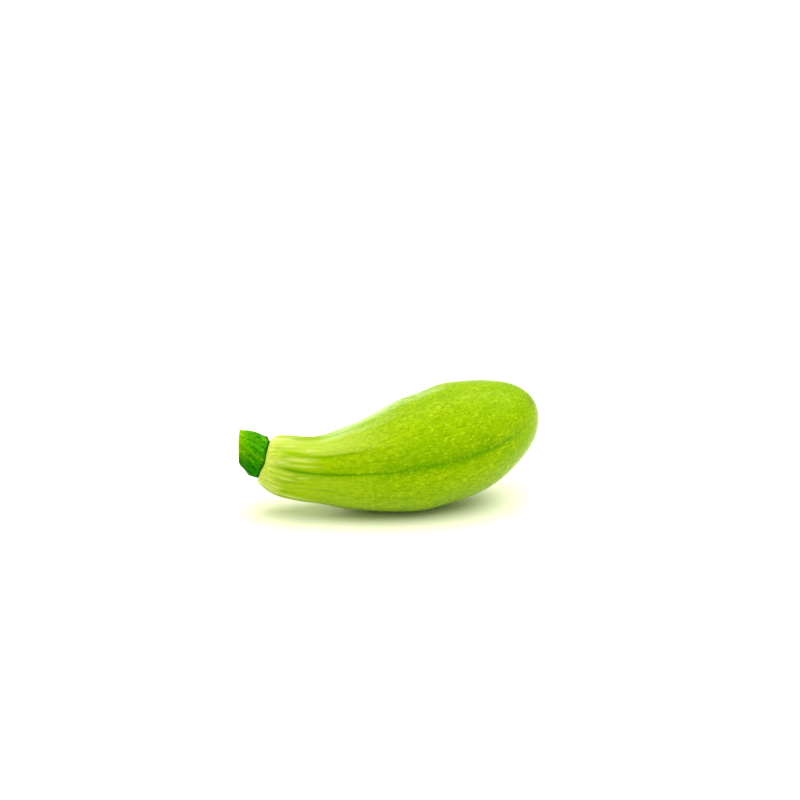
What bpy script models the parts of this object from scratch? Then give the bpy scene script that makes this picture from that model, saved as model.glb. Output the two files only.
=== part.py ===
"""Courgette: a pale, club-shaped fruit with its short cut stem, lying on its side.

Metres, +Z up, +X from the stem towards the blossom end. The origin is under the middle
of the bounding box, on the surface that the fruit lies on.
"""

import math

import bmesh
import bpy
import numpy as np
from mathutils import Euler, Vector

# Fruit, measured along its bent middle line from the foot of the stem
FRUIT_LENGTH = 0.143
NECK_PROFILE = (
    # distance, radius
    (0.000, 0.0095),
    (0.003, 0.0129),
    (0.011, 0.0157),
    (0.025, 0.0168),
    (0.042, 0.0209),
    (0.059, 0.0249),
    (0.077, 0.0279),
    (0.0915, 0.0285),
)
WIDEST_AT = NECK_PROFILE[-1][0]
WIDEST_RADIUS = NECK_PROFILE[-1][1]

# How the middle line bends: evenly along the fruit, with a last curl at the neck
BEND = math.radians(44)
NECK_CURL = math.radians(11)
CURL_REACH = 0.011
LINE_STEPS = 720

# How it lies: rolled back off its bend and pitched up at the blossom end
ROLL = math.radians(-27.7)
PITCH = math.radians(-9.4)
FLAT_DEPTH = 0.0009

# Five long furrows between broad ribs
RIBS = 5
FURROW_ANGLE = math.radians(110.7)
FURROW_DEPTH = 0.0009
FURROW_SHARPNESS = 5
FURROW_START = (0.006, 0.034)
FURROW_END = (0.108, 0.136)

# Short folds that gather the neck round the stem
FOLDS = 10
FOLD_DEPTH = 0.0007
FOLD_SHARPNESS = 2
FOLD_START = (0.000, 0.005)
FOLD_END = (0.010, 0.040)

# Slight departures from the round outline, along the upper side and on the shoulder below the stem
UPPER_ANGLE = math.radians(5)
UPPER_WIDTH = math.radians(42)
UPPER_HEIGHTS = (
    # distance, height
    (0.000, 0.0000),
    (0.003, 0.0000),
    (0.010, -0.0008),
    (0.018, -0.0010),
    (0.038, -0.0019),
    (0.050, -0.0015),
    (0.062, -0.0007),
    (0.071, 0.0001),
    (0.079, 0.0006),
    (0.090, 0.0007),
    (0.103, 0.0012),
    (0.121, 0.0003),
    (0.132, 0.0000),
    (0.138, 0.0000),
)
SHOULDER_ANGLE = math.radians(180)
SHOULDER_WIDTH = math.radians(32)
SHOULDER_HEIGHTS = (
    # distance, height
    (0.000, 0.0000),
    (0.003, -0.0016),
    (0.009, -0.0011),
    (0.017, -0.0004),
    (0.024, 0.0003),
    (0.034, 0.0000),
    (0.040, 0.0000),
)

# Flat seat of the stem, that far along the middle line, and scar of the blossom
SEAT_PLACE = 0.0012
SEAT_RADIUS = 0.0091
STEM_GAP = 0.0003
SCAR_RADIUS = 0.0032
SCAR_DEPTH = 0.0009
SCAR_LIP = 0.0003
SCAR_BOWL = (0.0, 0.7)

# Stem, measured along its own middle line from its foot
STEM_LENGTH = 0.0124
STEM_PROFILE = (
    # share of the length, radius
    (0.00, 0.0093),
    (0.12, 0.0098),
    (0.35, 0.0099),
    (0.60, 0.0089),
    (0.80, 0.0079),
    (1.00, 0.0072),
)
STEM_LIFT = math.radians(12)
STEM_CUT_TURN = math.radians(13.4)
STEM_CUT_DISH = 0.0006
STEM_CORNERS = 5
STEM_CORNER_ANGLE = math.radians(146.7)
STEM_CORNER_HEIGHT = 0.0006
STEM_RIDGES = 15
STEM_RIDGE_HEIGHT = 0.00022
STEM_RIDGE_START = (0.0, 0.2)
STEM_RIDGE_TWIST = math.radians(20)
STEM_HOLLOW_DEPTH = 0.0011
STEM_HOLLOW_ANGLE = math.radians(188)
STEM_HOLLOW_WIDTH = math.radians(36)
STEM_HOLLOW_END = (0.1, 0.5)

# Mesh density
FRUIT_SEGMENTS = 60
FRUIT_RINGS = 52
SEAT_RINGS = 3
SCAR_RINGS = 3
STEM_SEGMENTS = 60
STEM_RINGS = 16
STEM_FOOT_RINGS = 3
STEM_CUT_RINGS = 4
SNAP = 0.00002

FRUIT_COLOUR = (0.38, 0.60, 0.035, 1.0)
FRUIT_ROUGHNESS = 0.35
STEM_COLOUR = (0.045, 0.26, 0.012, 1.0)
STEM_ROUGHNESS = 0.55
SHARP_ANGLE = math.radians(40)


def clear_scene():
    for item in list(bpy.data.objects):
        bpy.data.objects.remove(item, do_unlink=True)


def ramp(limits, value):
    """Goes smoothly from 0 to 1 between the two limits."""
    share = (value - limits[0]) / (limits[1] - limits[0])
    share = min(max(share, 0.0), 1.0)
    return share * share * (3.0 - 2.0 * share)


def knot_slopes(steps, rises):
    """Slopes at the points of a profile that keep the curve between them free of waves."""
    grades = [rise / step for rise, step in zip(rises, steps)]
    slopes = [grades[0]]
    for first, second in zip(grades, grades[1:]):
        if first * second <= 0:
            slopes.append(0.0)
        else:
            slopes.append(2.0 * first * second / (first + second))
    slopes.append(grades[-1])
    return slopes


def profile_value(profile, place):
    """Reads a smooth curve through the profile's points."""
    places = [point[0] for point in profile]
    values = [point[1] for point in profile]
    place = min(max(place, places[0]), places[-1])
    steps = np.diff(places)
    slopes = knot_slopes(steps, np.diff(values))
    index = min(int(np.searchsorted(places, place, side="right")) - 1, len(steps) - 1)
    share = (place - places[index]) / steps[index]
    start = (1 + 2 * share) * (1 - share) ** 2
    end = share * share * (3 - 2 * share)
    leave = share * (1 - share) ** 2 * steps[index]
    arrive = -share * share * (1 - share) * steps[index]
    level = start * values[index] + end * values[index + 1]
    return float(level + leave * slopes[index] + arrive * slopes[index + 1])


def fruit_radius(distance):
    """Neck and belly follow the profile, and the blossom end is half an ellipse."""
    if distance <= WIDEST_AT:
        return profile_value(NECK_PROFILE, distance)
    share = (distance - WIDEST_AT) / (FRUIT_LENGTH - WIDEST_AT)
    return WIDEST_RADIUS * math.sqrt(max(1.0 - share * share, 0.0))


def slope_of_line(distance):
    bend = BEND * (distance / FRUIT_LENGTH - 0.5)
    return bend - NECK_CURL * np.exp(-distance / CURL_REACH)


def make_middle_line():
    """Steps along the bend in the XZ plane, with the halfway point at the origin."""
    places = np.linspace(0.0, FRUIT_LENGTH, LINE_STEPS + 1)
    middles = (places[1:] + places[:-1]) / 2
    step = places[1]
    run = np.concatenate([[0.0], np.cumsum(np.cos(slope_of_line(middles)) * step)])
    rise = np.concatenate([[0.0], np.cumsum(np.sin(slope_of_line(middles)) * step)])
    half = LINE_STEPS // 2
    return places, run - run[half], rise - rise[half]


def section_frame(line, distance):
    """Centre of a cross section, the way along the fruit, and the way to its hollow side."""
    places, run, rise = line
    centre = Vector((np.interp(distance, places, run), 0.0, np.interp(distance, places, rise)))
    slope = float(slope_of_line(distance))
    along = Vector((math.cos(slope), 0.0, math.sin(slope)))
    inward = Vector((-math.sin(slope), 0.0, math.cos(slope)))
    return centre, along, inward


def beside(angle, middle, width):
    """1 at the middle angle, falling off smoothly to both sides."""
    off = (angle - middle + math.pi) % math.tau - math.pi
    return math.exp(-((off / width) ** 2))


def skin_height(distance, angle):
    """How far the skin stands out from its round outline, on the upper side and the shoulder."""
    upper = profile_value(UPPER_HEIGHTS, distance) * beside(angle, UPPER_ANGLE, UPPER_WIDTH)
    shoulder = profile_value(SHOULDER_HEIGHTS, distance) * beside(angle, SHOULDER_ANGLE, SHOULDER_WIDTH)
    return upper + shoulder


def skin_relief(distance, angle):
    """How far the furrows and the neck's folds lie below the skin round them."""
    furrow = 0.5 + 0.5 * math.cos(RIBS * (angle - FURROW_ANGLE))
    furrow = FURROW_DEPTH * furrow**FURROW_SHARPNESS
    furrow *= ramp(FURROW_START, distance) * (1.0 - ramp(FURROW_END, distance))
    fold = 0.5 + 0.5 * math.cos(FOLDS * (angle - FURROW_ANGLE))
    fold = FOLD_DEPTH * fold**FOLD_SHARPNESS
    fold *= ramp(FOLD_START, distance) * (1.0 - ramp(FOLD_END, distance))
    return furrow + fold


def scar_distance():
    """Distance along the middle line at which the blossom scar's edge lies."""
    share = math.sqrt(1.0 - (SCAR_RADIUS / WIDEST_RADIUS) ** 2)
    return WIDEST_AT + share * (FRUIT_LENGTH - WIDEST_AT)


def fruit_ring(ring):
    """Distance and radius of one ring of the fruit, counted from the stem's pole."""
    if ring <= SEAT_RINGS:
        return SEAT_PLACE, SEAT_RADIUS * ring / SEAT_RINGS
    inner = FRUIT_RINGS - ring
    edge = scar_distance()
    if inner < SCAR_RINGS:
        share = inner / SCAR_RINGS
        dish = SCAR_LIP * math.sin(math.pi * share) - SCAR_DEPTH * (1.0 - ramp(SCAR_BOWL, share))
        return edge + dish, SCAR_RADIUS * share
    skin_rings = FRUIT_RINGS - SEAT_RINGS - SCAR_RINGS
    first = math.acos(1.0 - 2.0 * SEAT_PLACE / FRUIT_LENGTH)
    last = math.acos(1.0 - 2.0 * edge / FRUIT_LENGTH)
    share = (ring - SEAT_RINGS - 1) / (skin_rings - 1)
    distance = FRUIT_LENGTH * (1.0 - math.cos(first + (last - first) * share)) / 2.0
    return distance, fruit_radius(distance)


def ring_and_angle(vertex, rings):
    """Place of a sphere's vertex: its ring from the lower pole and its angle round the axis."""
    height = min(max(vertex.co.z, -1.0), 1.0)
    ring = round((math.pi - math.acos(height)) / math.pi * rings)
    return ring, math.atan2(vertex.co.y, vertex.co.x)


def sphere_mesh(segments, rings):
    mesh = bmesh.new()
    bmesh.ops.create_uvsphere(mesh, u_segments=segments, v_segments=rings, radius=1.0)
    return mesh


def shape_fruit(mesh, line):
    side = Vector((0.0, -1.0, 0.0))
    for vertex in mesh.verts:
        ring, turn = ring_and_angle(vertex, FRUIT_RINGS)
        distance, radius = fruit_ring(ring)
        angle = turn + FURROW_ANGLE
        if SEAT_RINGS < ring < FRUIT_RINGS - SCAR_RINGS:
            radius += skin_height(distance, angle) - skin_relief(distance, angle)
        centre, _, inward = section_frame(line, distance)
        vertex.co = centre + radius * (math.cos(angle) * inward + math.sin(angle) * side)


def cut_flat_spot(mesh, lying):
    """Slices the lowest part of the belly off level, so that the fruit rests on it."""
    lowest = min((lying @ vertex.co).z for vertex in mesh.verts)
    up = lying.transposed() @ Vector((0.0, 0.0, 1.0))
    height = lowest + FLAT_DEPTH
    geometry = mesh.verts[:] + mesh.edges[:] + mesh.faces[:]
    bmesh.ops.bisect_plane(
        mesh, geom=geometry, dist=SNAP, plane_co=up * height, plane_no=up, clear_inner=True)
    rim = [edge for edge in mesh.edges if edge.is_boundary]
    for vertex in {vertex for edge in rim for vertex in edge.verts}:
        vertex.co += up * (height - up.dot(vertex.co))
    bmesh.ops.contextual_create(mesh, geom=rim)


def stem_radius(share, angle):
    """Round profile with corners and twisted ridges, and a hollow on the underside near the foot."""
    corner = STEM_CORNER_HEIGHT * math.cos(STEM_CORNERS * (angle - STEM_CORNER_ANGLE))
    ridge_angle = angle - STEM_CORNER_ANGLE + STEM_RIDGE_TWIST * share
    ridge = STEM_RIDGE_HEIGHT * math.cos(STEM_RIDGES * ridge_angle)
    hollow = STEM_HOLLOW_DEPTH * beside(angle, STEM_HOLLOW_ANGLE, STEM_HOLLOW_WIDTH)
    hollow *= 1.0 - ramp(STEM_HOLLOW_END, share)
    return profile_value(STEM_PROFILE, share) + (corner + ridge) * ramp(STEM_RIDGE_START, share) - hollow


def shape_stem(mesh, line, lying):
    """Foot on the fruit's seat, sides out to the slanting knife cut, and the dished cut face."""
    foot, along, inward = section_frame(line, SEAT_PLACE)
    foot = foot - along * STEM_GAP
    side = Vector((0.0, -1.0, 0.0))
    reach = (math.sin(STEM_LIFT) * inward - math.cos(STEM_LIFT) * along).normalized()
    cut_way = lying.transposed() @ Vector((-math.cos(STEM_CUT_TURN), math.sin(STEM_CUT_TURN), 0.0))
    cut_middle = foot + reach * STEM_LENGTH
    for vertex in mesh.verts:
        ring, turn = ring_and_angle(vertex, STEM_RINGS)
        angle = turn + STEM_CORNER_ANGLE
        across = math.cos(angle) * inward + math.sin(angle) * side
        if ring <= STEM_FOOT_RINGS:
            vertex.co = foot + across * stem_radius(0.0, angle) * ring / STEM_FOOT_RINGS
            continue
        inner = STEM_RINGS - ring
        share = 1.0
        if inner >= STEM_CUT_RINGS:
            wall_rings = STEM_RINGS - STEM_FOOT_RINGS - STEM_CUT_RINGS
            share = (ring - STEM_FOOT_RINGS) / wall_rings
        edge = foot + across * stem_radius(share, angle)
        wall = (cut_middle - edge).dot(cut_way) / reach.dot(cut_way)
        point = edge + reach * wall * share
        if inner < STEM_CUT_RINGS:
            inset = inner / STEM_CUT_RINGS
            point = cut_middle.lerp(point, inset) - reach * STEM_CUT_DISH * (1.0 - inset * inset)
        vertex.co = point


def make_material(name, colour, roughness):
    material = bpy.data.materials.new(name)
    material.use_nodes = True
    shader = material.node_tree.nodes["Principled BSDF"]
    shader.inputs["Base Color"].default_value = colour
    shader.inputs["Roughness"].default_value = roughness
    shader.inputs["Metallic"].default_value = 0.0
    material.diffuse_color = colour
    return material


def make_object(name, mesh, material, collection):
    bmesh.ops.recalc_face_normals(mesh, faces=mesh.faces)
    data = bpy.data.meshes.new(name)
    mesh.to_mesh(data)
    mesh.free()
    data.materials.append(material)
    data.shade_smooth()
    data.set_sharp_from_angle(angle=SHARP_ANGLE)
    item = bpy.data.objects.new(name, data)
    collection.objects.link(item)
    return item


def make_fruit(line, lying, collection):
    mesh = sphere_mesh(FRUIT_SEGMENTS, FRUIT_RINGS)
    shape_fruit(mesh, line)
    cut_flat_spot(mesh, lying)
    skin = make_material("skin", FRUIT_COLOUR, FRUIT_ROUGHNESS)
    return make_object("fruit", mesh, skin, collection)


def make_stem(line, lying, collection):
    mesh = sphere_mesh(STEM_SEGMENTS, STEM_RINGS)
    shape_stem(mesh, line, lying)
    bark = make_material("stem_bark", STEM_COLOUR, STEM_ROUGHNESS)
    return make_object("stem", mesh, bark, collection)


def lay_down(pieces, collection):
    """Parents the pieces to one empty that rolls, pitches and centres the courgette."""
    lying = Euler((ROLL, PITCH, 0.0))
    corners = [lying.to_matrix() @ vertex.co for piece in pieces for vertex in piece.data.vertices]
    low = Vector([min(corner[axis] for corner in corners) for axis in range(3)])
    high = Vector([max(corner[axis] for corner in corners) for axis in range(3)])
    middle = (low + high) / 2
    pose = bpy.data.objects.new("courgette_pose", None)
    pose.rotation_euler = lying
    pose.location = (-middle.x, -middle.y, -low.z)
    collection.objects.link(pose)
    for piece in pieces:
        piece.parent = pose


def main():
    clear_scene()
    collection = bpy.data.collections.new("courgette")
    bpy.context.scene.collection.children.link(collection)
    lying = Euler((ROLL, PITCH, 0.0)).to_matrix()
    line = make_middle_line()
    pieces = [make_fruit(line, lying, collection), make_stem(line, lying, collection)]
    lay_down(pieces, collection)
    bpy.context.view_layer.update()


main()
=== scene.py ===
import math

import bmesh
import bpy
import numpy as np
from mathutils import Euler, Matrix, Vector


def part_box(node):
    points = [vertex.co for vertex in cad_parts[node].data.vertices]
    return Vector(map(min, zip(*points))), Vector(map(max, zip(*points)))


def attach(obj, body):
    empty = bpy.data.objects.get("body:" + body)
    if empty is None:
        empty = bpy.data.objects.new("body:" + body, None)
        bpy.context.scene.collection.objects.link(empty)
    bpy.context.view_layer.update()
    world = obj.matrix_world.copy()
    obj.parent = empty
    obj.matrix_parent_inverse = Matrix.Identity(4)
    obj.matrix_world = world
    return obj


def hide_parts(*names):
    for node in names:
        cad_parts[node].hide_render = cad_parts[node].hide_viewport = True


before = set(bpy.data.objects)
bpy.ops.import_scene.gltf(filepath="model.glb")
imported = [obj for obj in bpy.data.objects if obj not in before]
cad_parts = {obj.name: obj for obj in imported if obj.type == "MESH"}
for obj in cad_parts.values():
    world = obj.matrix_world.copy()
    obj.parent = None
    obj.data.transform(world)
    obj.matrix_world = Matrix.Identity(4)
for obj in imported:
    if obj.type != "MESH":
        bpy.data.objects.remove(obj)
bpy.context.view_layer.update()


# Small tools for curves and soft random waves

millimetres = 1000.0  # in a metre


def smoothRamp(low, high, value):
    share = np.clip((value - low) / (high - low), 0.0, 1.0)
    return share * share * (3.0 - 2.0 * share)


def within(span, value):
    # 0 outside the span and 1 inside: where it begins, where it is full, where it fades and where it ends
    begin, full, fade, end = span
    return smoothRamp(begin, full, value) * (1.0 - smoothRamp(fade, end, value))


def bell(value, width):
    return np.exp(-((value / width) ** 2))


def ripple(turn, count, sharpness):
    # this many peaks of height 1 round the piece, narrower with more sharpness
    return (0.5 + 0.5 * np.cos(count * turn)) ** sharpness


def blend(ends, share):
    return ends[0] + (ends[1] - ends[0]) * share


def turnFrom(angles, middle):
    # angle from a middle given in degrees, at most half a turn either way
    return (angles - math.radians(middle) + math.pi) % (2.0 * math.pi) - math.pi


def besideAngle(angles, middle, width):
    # 1 at the middle angle, falling off smoothly to both sides; middle and width in degrees
    return bell(turnFrom(angles, middle), math.radians(width))


def readProfile(points, places):
    # smooth curve through given points, without waves between them
    xs, ys = np.array(points).T
    steps = np.diff(xs)
    grades = np.diff(ys) / steps
    before, after = grades[:-1], grades[1:]
    same = before * after > 0
    slopes = np.concatenate([grades[:1], np.zeros(len(grades) - 1), grades[-1:]])
    slopes[1:-1][same] = (2 * before * after)[same] / (before + after)[same]
    places = np.clip(places, xs[0], xs[-1])
    i = np.clip(np.searchsorted(xs, places, side="right") - 1, 0, len(steps) - 1)
    t = (places - xs[i]) / steps[i]
    level = (1 + 2 * t) * (1 - t) ** 2 * ys[i] + t * t * (3 - 2 * t) * ys[i + 1]
    return level + (t * (1 - t) ** 2 * slopes[i] - t * t * (1 - t) * slopes[i + 1]) * steps[i]


def wavesRound(places, angles, height, seed, lobes, reach, count):
    # seamless waves: the fewest and most lobes round the piece, and the shortest wave along it
    dice = np.random.default_rng(seed)
    total = np.zeros(np.broadcast(places, angles).shape)
    for _ in range(count):
        turns = dice.integers(lobes[0], lobes[1] + 1)
        pace = dice.uniform(-1.0, 1.0) * 2.0 * math.pi / reach
        total += np.sin(turns * angles + pace * places + dice.uniform(0.0, 2.0 * math.pi))
    return height * (total / math.sqrt(count / 2.0))


def evenAngles(count):
    return np.linspace(-math.pi, math.pi, count, endpoint=False)


# The fruit's form, in metres and degrees. A span gives four places along it: begin, full, fade and end.
fruitForm = {
    "length": 0.143,
    "profile": [
        (0.000, 0.0095), (0.003, 0.0129), (0.011, 0.0157), (0.025, 0.0168),
        (0.042, 0.0209), (0.059, 0.0249), (0.077, 0.0279), (0.0915, 0.0285),
    ],
    "bend": 44.0,
    "neckCurl": 11.0,
    "curlReach": 0.011,
    "roll": -27.7,
    "pitch": -9.4,
    "flatDepth": 0.0009,
    "ribs": 5,
    "furrowAngle": 110.7,
    "furrowDepth": 0.0009,
    "furrowDrift": [
        (0.000, -12.0), (0.010, -9.0), (0.020, -5.5), (0.050, -4.0),
        (0.070, -2.5), (0.090, 0.5), (0.110, 5.0), (0.143, 13.0),
    ],
    "furrowShares": [1.0, 0.75, 0.9, 0.8, 0.30],
    "furrowTints": [1.0, 0.5, 0.7, 0.6, 0.12],
    "creaseShares": [1.0, 0.5, 0.8, 0.6, 0.0],
    "upperHeights": [
        (0.000, 0.0000), (0.003, 0.0000), (0.010, -0.0008), (0.018, -0.0010),
        (0.038, -0.0019), (0.050, -0.0015), (0.062, -0.0007), (0.071, 0.0001),
        (0.079, 0.0006), (0.090, 0.0007), (0.103, 0.0012), (0.121, 0.0003),
        (0.132, 0.0000), (0.138, 0.0000),
    ],
    "upperSide": (5.0, 42.0),
    "shoulderHeights": [
        (0.000, 0.0000), (0.003, -0.0016), (0.009, -0.0011), (0.017, -0.0004),
        (0.024, 0.0003), (0.034, 0.0000), (0.040, 0.0000),
    ],
    "shoulderSide": (180.0, 32.0),
    "furrowSpan": (0.003, 0.018, 0.108, 0.138),
    "furrowDeepens": (0.006, 0.034),
    "furrowSharpness": 5,
    "creaseDepth": 0.00025,
    "creaseWidth": 0.0006,
    "creaseFade": 0.75,
    "bellySpan": (0.045, 0.065, 0.105, 0.118),
    "crestHeight": 0.0006,
    "crestShares": [1.0, 0.15, 0.5, 0.7, 0.6],
    "crestSpan": (0.010, 0.026, 0.045, 0.085),
    "crestSharpness": 6,
    "folds": 10,
    "foldDepth": 0.0007,
    "foldShares": [1.0, 0.6, 0.9, 0.7, 1.0, 0.8, 0.9, 0.7, 0.15, 0.7],
    "foldSpan": (0.000, 0.005, 0.010, 0.040),
    "foldSharpness": 2,
    "pleatStart": (0.001, 0.006),
    "pleatEnd": (0.012, 0.050),
    "pleatFade": 0.88,
    "smoothSide": (50.0, 26.0),
    "smoothShare": 0.7,
    "wanderStart": (0.02, 0.06),
    "fineSpan": (0.000, 0.004, 0.134, 0.142),
    "waves": {  # height, seed, fewest and most lobes round it, shortest wave along it, how many
        "wander": (0.04, 11, (1, 3), 0.09, 8),
        "uneven": (0.3, 12, (1, 2), 0.20, 6),
        "pleats": (0.00015, 13, (17, 44), 0.10, 26),
        "swell": (0.00010, 14, (2, 7), 0.022, 30),
        "grain": (0.000016, 15, (30, 90), 0.004, 40),
        "ruffle": (1.0, 31, (7, 15), 0.5, 10),
    },
    "seatPlace": 0.0012,
    "seatRadius": 0.0091,
    "scarRadius": 0.0032,
    "scarDepth": 0.0009,
    "scarRim": 0.0003,
    "scarFloor": 0.7,
    "scarWave": 0.025,
    "scarWaveSpan": (0.0003, 0.002, 0.0028, 0.0042),
    "blossomEnd": (0.100, 0.125),
    "segments": 360,
    "rings": 360,
    "seatRings": 4,
    "scarRings": 10,
    "lineSteps": 1440,
}
furrowAngle = math.radians(fruitForm["furrowAngle"])
lying = np.array(Euler((math.radians(fruitForm["roll"]), math.radians(fruitForm["pitch"]), 0.0)).to_matrix())
sideWay = np.array([0.0, -1.0, 0.0])


def lineSlope(places):
    bend = math.radians(fruitForm["bend"]) * (places / fruitForm["length"] - 0.5)
    return bend - math.radians(fruitForm["neckCurl"]) * np.exp(-places / fruitForm["curlReach"])


def middleLine(places):
    # centre of each section, and the ways along the fruit and to the hollow side of its bend
    steps = fruitForm["lineSteps"]
    fine = np.linspace(0.0, fruitForm["length"], steps + 1)
    middles = (fine[1:] + fine[:-1]) / 2
    run = np.concatenate([[0.0], np.cumsum(np.cos(lineSlope(middles)) * fine[1])])
    rise = np.concatenate([[0.0], np.cumsum(np.sin(lineSlope(middles)) * fine[1])])
    x = np.interp(places, fine, run - run[steps // 2])
    z = np.interp(places, fine, rise - rise[steps // 2])
    slope = lineSlope(places)
    centre = np.stack([x, 0 * x, z], -1)
    along = np.stack([np.cos(slope), 0 * x, np.sin(slope)], -1)
    inward = np.stack([-np.sin(slope), 0 * x, np.cos(slope)], -1)
    return centre, along, inward


def fruitRadius(places):
    widest, radius = fruitForm["profile"][-1]
    share = np.clip((places - widest) / (fruitForm["length"] - widest), 0.0, 1.0)
    dome = radius * np.sqrt(1.0 - share * share)
    return np.where(places > widest, dome, readProfile(fruitForm["profile"], places))


def furrowTurn(places, angles):
    # angle round the fruit from the first furrow, which drifts a little on its way along
    return angles - furrowAngle - np.radians(readProfile(fruitForm["furrowDrift"], places))


def perRib(shares, turn):
    # each furrow's or fold's own share, from the first one on round the fruit
    index = np.round(turn / (2.0 * math.pi) * len(shares)).astype(int)
    return np.array(shares)[index % len(shares)]


def fromFurrow(places, turn):
    # way round the skin to the nearest furrow, in metres
    step = 2.0 * math.pi / fruitForm["ribs"]
    return ((turn + step / 2) % step - step / 2) * fruitRadius(places)


def furrowReach(places):
    return within(fruitForm["furrowSpan"], places)


def fruitWave(name, places, angles):
    return wavesRound(places, angles, *fruitForm["waves"][name])


def skinHeight(places, angles):
    # how far the skin stands out from the round outline, on the upper side and on the shoulder
    form = fruitForm
    upper = readProfile(form["upperHeights"], places) * besideAngle(angles, *form["upperSide"])
    shoulder = readProfile(form["shoulderHeights"], places) * besideAngle(angles, *form["shoulderSide"])
    return upper + shoulder


def skinRelief(places, angles):
    # depth below the round outline: furrows, folds and crests at the neck, fine pleats and soft swellings
    form = fruitForm
    wander = fruitWave("wander", places, angles) * smoothRamp(*form["wanderStart"], places)
    turn = furrowTurn(places, angles) + wander
    uneven = 1.0 + fruitWave("uneven", places, angles)
    furrow = form["furrowDepth"] * ripple(turn, form["ribs"], form["furrowSharpness"]) * uneven
    furrow *= smoothRamp(*form["furrowDeepens"], places) * perRib(form["furrowShares"], turn)
    crease = form["creaseDepth"] * bell(fromFurrow(places, turn), form["creaseWidth"])
    crease *= 1.0 - form["creaseFade"] * within(form["bellySpan"], places)
    furrow = (furrow + crease * perRib(form["creaseShares"], turn)) * furrowReach(places)
    fold = form["foldDepth"] * ripple(turn, form["folds"], form["foldSharpness"]) * uneven
    fold *= within(form["foldSpan"], places) * perRib(form["foldShares"], turn)
    crestTurn = turn + math.pi / form["ribs"]
    crest = form["crestHeight"] * ripple(crestTurn, form["ribs"], form["crestSharpness"])
    crest *= within(form["crestSpan"], places) * perRib(form["crestShares"], crestTurn)
    pleats = fruitWave("pleats", places, angles) * smoothRamp(*form["pleatStart"], places)
    pleats *= 1.0 - form["pleatFade"] * smoothRamp(*form["pleatEnd"], places)
    pleats *= 1.0 - form["smoothShare"] * besideAngle(angles, *form["smoothSide"])
    fine = fruitWave("swell", places, angles) + fruitWave("grain", places, angles)
    return furrow + fold - crest + pleats + fine * within(form["fineSpan"], places)


# Lines from the stem into the neck: angle in degrees, start, end and width in millimetres, and strength
neckLines = {
    "pale": [
        (83.0, 7.0, 30.0, 1.0, 0.9), (91.0, 0.0, 16.0, 1.2, 1.0), (93.5, 10.0, 32.0, 0.6, 0.5),
        (110.5, 9.0, 18.0, 0.5, 0.8), (114.0, 16.0, 25.0, 0.5, 0.7), (119.0, 8.0, 19.0, 0.6, 0.7),
        (57.0, 6.0, 18.0, 1.2, 0.6), (47.0, 8.0, 26.0, 0.8, 0.5), (66.0, 20.0, 27.0, 0.9, 0.6),
        (131.0, 2.0, 12.0, 1.0, 0.8), (143.0, 2.0, 15.0, 0.9, 0.8), (152.0, 3.0, 13.0, 1.0, 0.7),
    ],
    "dark": [
        (87.0, 7.0, 19.0, 0.6, 0.9), (77.0, 5.0, 66.0, 0.8, 1.0), (65.0, 1.0, 17.0, 1.3, 0.4),
        (97.5, 3.0, 14.0, 0.8, 0.7), (104.0, 5.0, 18.0, 0.6, 0.5), (118.0, 12.0, 22.0, 0.5, 0.6),
        (125.0, 4.0, 30.0, 0.6, 0.5), (132.0, 22.0, 44.0, 0.5, 0.7), (137.0, 28.0, 84.0, 0.5, 0.6),
        (96.0, 26.0, 60.0, 0.4, 0.5), (141.5, 46.0, 76.0, 0.4, 0.5), (91.0, 40.0, 72.0, 0.4, 0.4),
    ],
    "randomPale": 34,
    "randomDark": 30,
    "paleSeed": 21,
    "darkSeed": 22,
    "randomStart": (-2.0, 12.0),
    "randomLength": (9.0, 26.0),
    "randomWidth": (0.4, 1.1),
    "randomStrength": (0.4, 1.0),
    "clearFrom": 40.0,
    "clearTo": 160.0,
    "fanMiddle": -5.3,
    "fadeIn": 0.3,
    "fadeOut": 0.6,
}


def neckLine(places, angles, middle, start, end, width, strength):
    form = neckLines
    across = bell(fruitRadius(places) * turnFrom(angles, middle) * millimetres, width)
    span = end - start
    reach = (start, start + form["fadeIn"] * span, end - form["fadeOut"] * span, end)
    return strength * across * within(reach, places * millimetres)


def linesAlong(places, angles, chosen, count, seed):
    # the chosen lines, then others at random on the sides that the chosen ones leave free
    form = neckLines
    dice = np.random.default_rng(seed)
    total = np.zeros(np.broadcast(places, angles).shape)
    for line in chosen:
        total += neckLine(places, angles, *line)
    for _ in range(count):
        middle = dice.uniform(form["clearTo"], form["clearFrom"] + 360.0)
        start = dice.uniform(*form["randomStart"])
        end = start + dice.uniform(*form["randomLength"])
        width = dice.uniform(*form["randomWidth"])
        strength = dice.uniform(*form["randomStrength"])
        total += neckLine(places, angles, middle, start, end, width, strength)
    return np.clip(total, 0.0, 1.0)


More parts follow.
